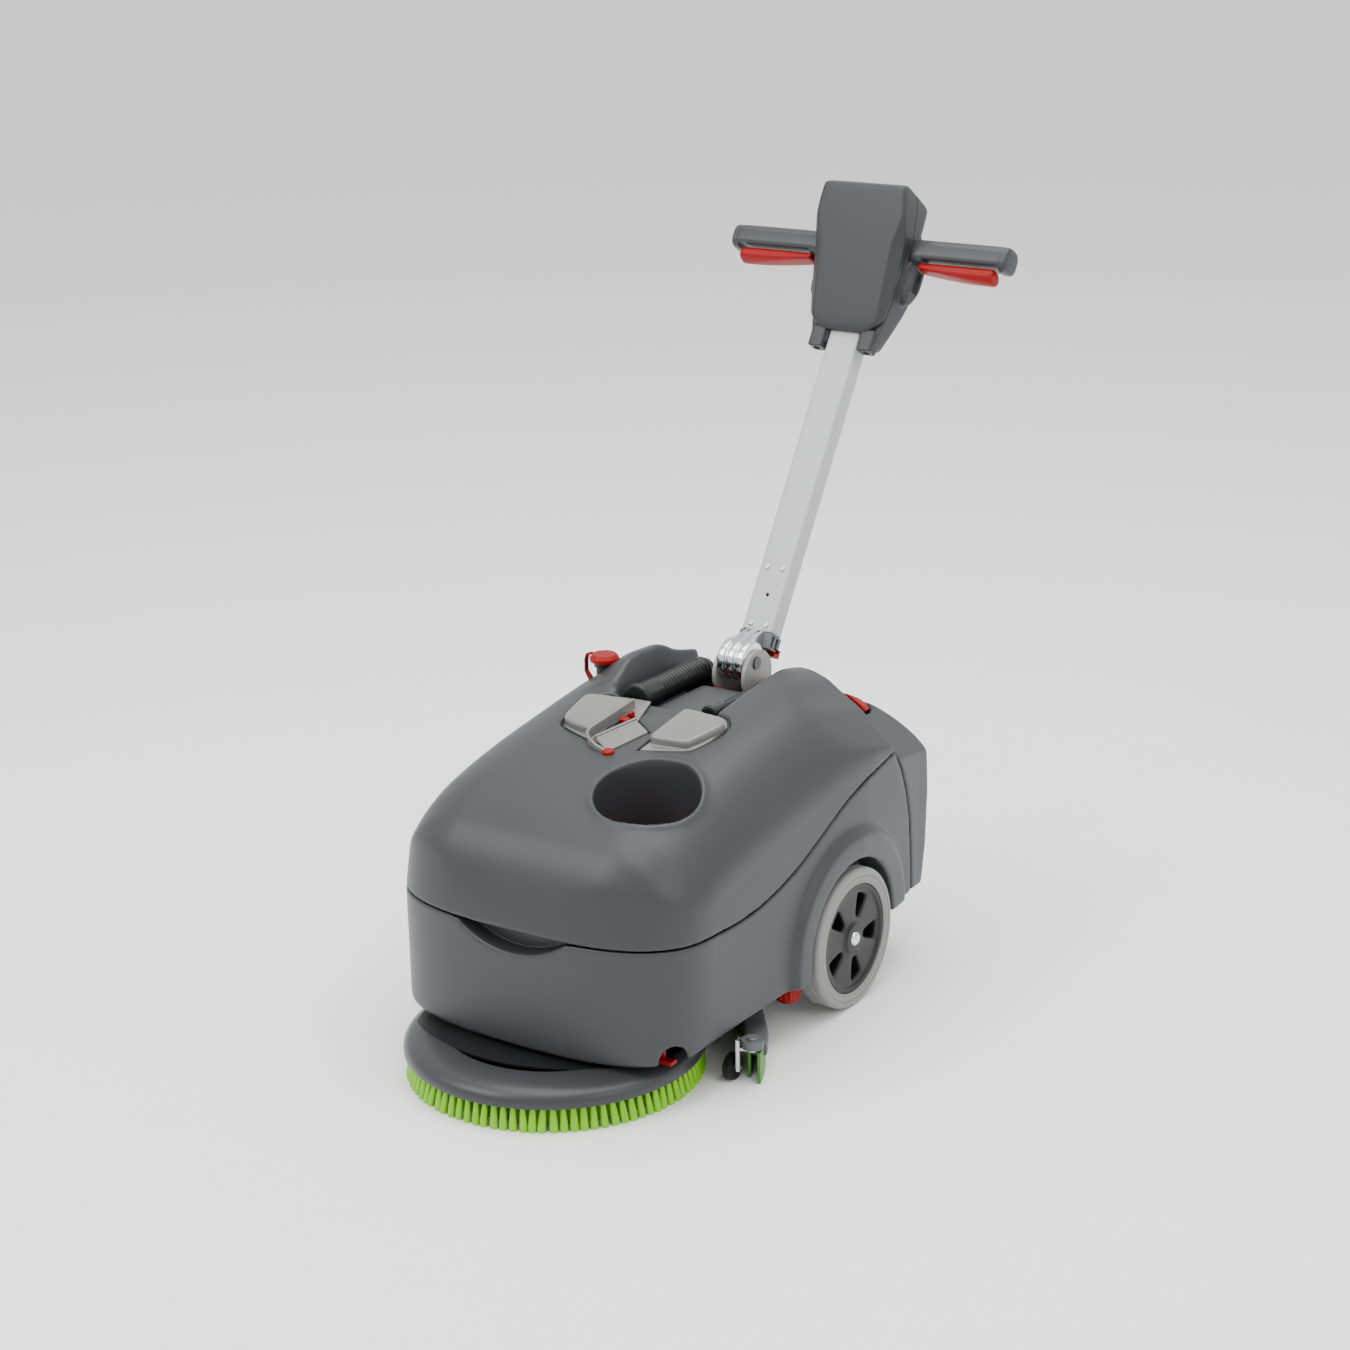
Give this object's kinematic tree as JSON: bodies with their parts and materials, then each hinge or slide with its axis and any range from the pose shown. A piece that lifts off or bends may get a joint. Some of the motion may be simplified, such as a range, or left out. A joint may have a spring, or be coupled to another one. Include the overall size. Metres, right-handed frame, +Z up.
{
  "type": "floor scrubber machine",
  "caption": "Walk-behind floor scrubber with a round brush, curved squeegee, lift-off tank, rear wheels and a folding post handle with squeeze triggers.",
  "frame": {"origin": "middle of the bounding box at floor level", "axes": "+X across the machine towards the side with the filling well, +Y from the brush towards the handle, +Z up"},
  "size_m": [0.528, 1.0734, 1.0587],
  "materials": {
    "shell_grey": "satin moulded, fine grain",
    "cover_grey": "satin moulded",
    "head_grey": "fine textured",
    "lid_grey": "satin with bright edges",
    "red_plastic": "semi gloss",
    "dark_plastic": "matt",
    "hose_rubber": "semi gloss ribbed",
    "post_metal": "anodised satin",
    "bright_cast": "polished cast",
    "cheek_metal": "satin paint",
    "dark_steel": "satin paint",
    "motor_metal": "satin paint",
    "bristle_green": "nylon filaments",
    "blade_green": "moulded rubber",
    "tyre_grey": "matt rubber",
    "hub_grey": "fine textured",
    "button_green": "semi gloss",
    "button_blue": "semi gloss",
    "bracket_metal": "satin",
    "clamp_grey": "fine textured",
    "strainer_white": "plain"
  },
  "bodies": {
    "chassis": {"lower_shell": "shell_grey", "chassis_plate": "dark_steel", "axle": "motor_metal", "battery_pack": "dark_plastic", "vacuum_motor": "motor_metal", "brush_motor": "motor_metal", "deck_cover": "shell_grey", "hinge_base": "dark_plastic", "hinge_cheeks": "cheek_metal", "hinge_pin": "dark_steel", "suction_port": "dark_plastic", "filter_housing": "dark_plastic"},
    "filter_cap": {"filter_cap": "red_plastic"},
    "brush_release": {"brush_release": "red_plastic"},
    "fold_lock": {"fold_lock": "red_plastic"},
    "rear_cover": {"rear_cover": "cover_grey"},
    "rear_latch": {"rear_latch": "red_plastic"},
    "tank": {"upper_tank": "shell_grey", "drain_neck": "dark_plastic", "cap_strap": "red_plastic", "suction_hose": "hose_rubber", "vacuum_hose": "hose_rubber", "hose_cuffs": "hose_rubber"},
    "drain_cap": {"drain_cap": "red_plastic"},
    "lid": {"separator_lid": "lid_grey", "float_cage": "strainer_white"},
    "lid_button": {"lid_button": "red_plastic"},
    "fill_filter": {"fill_filter": "red_plastic"},
    "handle": {"post": "post_metal", "knuckle": "bright_cast", "post_clamp": "clamp_grey", "post_screws": "bracket_metal", "head_front": "head_grey", "head_rear": "head_grey", "console_panel": "dark_plastic", "grip_left": "head_grey", "grip_right": "head_grey"},
    "release_lever": {"release_lever": "red_plastic"},
    "power_button": {"power_button": "button_green"},
    "water_button": {"water_button": "button_blue"},
    "key_switch": {"key_switch": "bracket_metal"},
    "trigger_left": {"trigger_left": "red_plastic"},
    "trigger_right": {"trigger_right": "red_plastic"},
    "brush": {"brush_hub": "dark_plastic", "brush_plate": "dark_plastic", "bristles": "bristle_green"},
    "wheel_left": {"hub_left": "hub_grey", "tyre_left": "tyre_grey"},
    "wheel_right": {"hub_right": "hub_grey", "tyre_right": "tyre_grey"},
    "squeegee_carrier": {"squeegee_carrier": "dark_steel"},
    "squeegee": {"squeegee_body": "clamp_grey", "squeegee_bracket": "bracket_metal", "blade_front": "blade_green", "blade_rear": "blade_green"},
    "roller_left": {"roller_left": "clamp_grey"},
    "roller_right": {"roller_right": "clamp_grey"},
    "castor_left": {"castor_left": "dark_plastic"},
    "castor_right": {"castor_right": "dark_plastic"}
  },
  "joints": [
    {"name": "tank_lift", "type": "slide", "parent": "chassis", "child": "tank", "axis": [0, 0, 1], "range_m": [0, 0.15]},
    {"name": "lid_lift", "type": "slide", "parent": "tank", "child": "lid", "axis": [0, -0.1478, 0.989], "range_m": [0, 0.13]},
    {"name": "lid_button_press", "type": "slide", "parent": "lid", "child": "lid_button", "axis": [0, 0.989, 0.1478], "range_m": [0, 0.003], "stiffness_N_per_m": 200, "springref_m": -0.003},
    {"name": "drain_cap_twist", "type": "hinge", "parent": "tank", "child": "drain_cap", "pos_m": [-0.15, 0.0053, 0.449], "axis": [0, 0, 1], "range_deg": [0, 120]},
    {"name": "fill_filter_lift", "type": "slide", "parent": "tank", "child": "fill_filter", "axis": [0, 0, 1], "range_m": [0, 0.12]},
    {"name": "rear_cover_open", "type": "hinge", "parent": "chassis", "child": "rear_cover", "pos_m": [0, 0.2463, 0.108], "axis": [-1, 0, 0], "range_deg": [0, 80]},
    {"name": "rear_latch_lift", "type": "slide", "parent": "rear_cover", "child": "rear_latch", "axis": [0, 0, 1], "range_m": [0, 0.006], "stiffness_N_per_m": 300, "springref_m": -0.004},
    {"name": "filter_cap_twist", "type": "hinge", "parent": "chassis", "child": "filter_cap", "pos_m": [0.208, -0.0897, 0.06], "axis": [0, 0, 1], "range_deg": [0, 120]},
    {"name": "brush_release_press", "type": "hinge", "parent": "chassis", "child": "brush_release", "pos_m": [0.189, -0.3597, 0.084], "axis": [1, 0, 0], "range_deg": [0, 12], "stiffness_Nm_per_rad": 0.3, "springref_deg": -11.46},
    {"name": "fold_lock_press", "type": "hinge", "parent": "chassis", "child": "fold_lock", "pos_m": [-0.014, 0.0913, 0.398], "axis": [1, 0, 0], "range_deg": [0, 18], "stiffness_Nm_per_rad": 0.3, "springref_deg": -11.46},
    {"name": "handle_fold", "type": "hinge", "parent": "chassis", "child": "handle", "pos_m": [0, 0.1243, 0.437], "axis": [-1, 0, 0], "range_deg": [-105, 0]},
    {"name": "release_lever_press", "type": "hinge", "parent": "handle", "child": "release_lever", "pos_m": [0.016, 0.18566, 0.43478], "axis": [1, 0, 0], "range_deg": [0, 15], "stiffness_Nm_per_rad": 0.3, "springref_deg": -11.46},
    {"name": "power_button_press", "type": "slide", "parent": "handle", "child": "power_button", "axis": [0, -0.8625, 0.506], "range_m": [0, 0.0015], "stiffness_N_per_m": 300, "springref_m": -0.002},
    {"name": "water_button_press", "type": "slide", "parent": "handle", "child": "water_button", "axis": [0, -0.8625, 0.506], "range_m": [0, 0.0015], "stiffness_N_per_m": 300, "springref_m": -0.002},
    {"name": "key_turn", "type": "hinge", "parent": "handle", "child": "key_switch", "pos_m": [0.024, 0.52117, 0.95971], "axis": [0, 0.8625, -0.506], "range_deg": [0, 60]},
    {"name": "trigger_left_squeeze", "type": "hinge", "parent": "handle", "child": "trigger_left", "pos_m": [-0.15, 0.47225, 0.95168], "axis": [1, 0, 0], "range_deg": [0, 9], "stiffness_Nm_per_rad": 1, "springref_deg": -8.59},
    {"name": "trigger_right_squeeze", "type": "hinge", "parent": "handle", "child": "trigger_right", "pos_m": [0.15, 0.47225, 0.95168], "axis": [1, 0, 0], "range_deg": [0, 9], "stiffness_Nm_per_rad": 1, "springref_deg": -8.59},
    {"name": "brush_spin", "type": "hinge", "parent": "chassis", "child": "brush", "pos_m": [0, -0.3357, 0.03], "axis": [0, 0, 1], "continuous": true},
    {"name": "wheel_left_roll", "type": "hinge", "parent": "chassis", "child": "wheel_left", "pos_m": [-0.224, 0.0323, 0.1], "axis": [1, 0, 0], "continuous": true},
    {"name": "wheel_right_roll", "type": "hinge", "parent": "chassis", "child": "wheel_right", "pos_m": [0.224, 0.0323, 0.1], "axis": [1, 0, 0], "continuous": true},
    {"name": "squeegee_swing", "type": "hinge", "parent": "chassis", "child": "squeegee_carrier", "pos_m": [0, -0.3357, 0.074], "axis": [0, 0, 1], "range_deg": [-14, 14]},
    {"name": "squeegee_lift", "type": "slide", "parent": "squeegee_carrier", "child": "squeegee", "axis": [0, 0, 1], "range_m": [0, 0.014]},
    {"name": "roller_left_spin", "type": "hinge", "parent": "squeegee", "child": "roller_left", "pos_m": [-0.249, -0.2407, 0.055], "axis": [0, 0, 1], "continuous": true},
    {"name": "castor_left_roll", "type": "hinge", "parent": "squeegee", "child": "castor_left", "pos_m": [-0.222, -0.2477, 0.018], "axis": [1, 0, 0], "continuous": true},
    {"name": "roller_right_spin", "type": "hinge", "parent": "squeegee", "child": "roller_right", "pos_m": [0.249, -0.2407, 0.055], "axis": [0, 0, 1], "continuous": true},
    {"name": "castor_right_roll", "type": "hinge", "parent": "squeegee", "child": "castor_right", "pos_m": [0.222, -0.2477, 0.018], "axis": [1, 0, 0], "continuous": true}
  ]
}
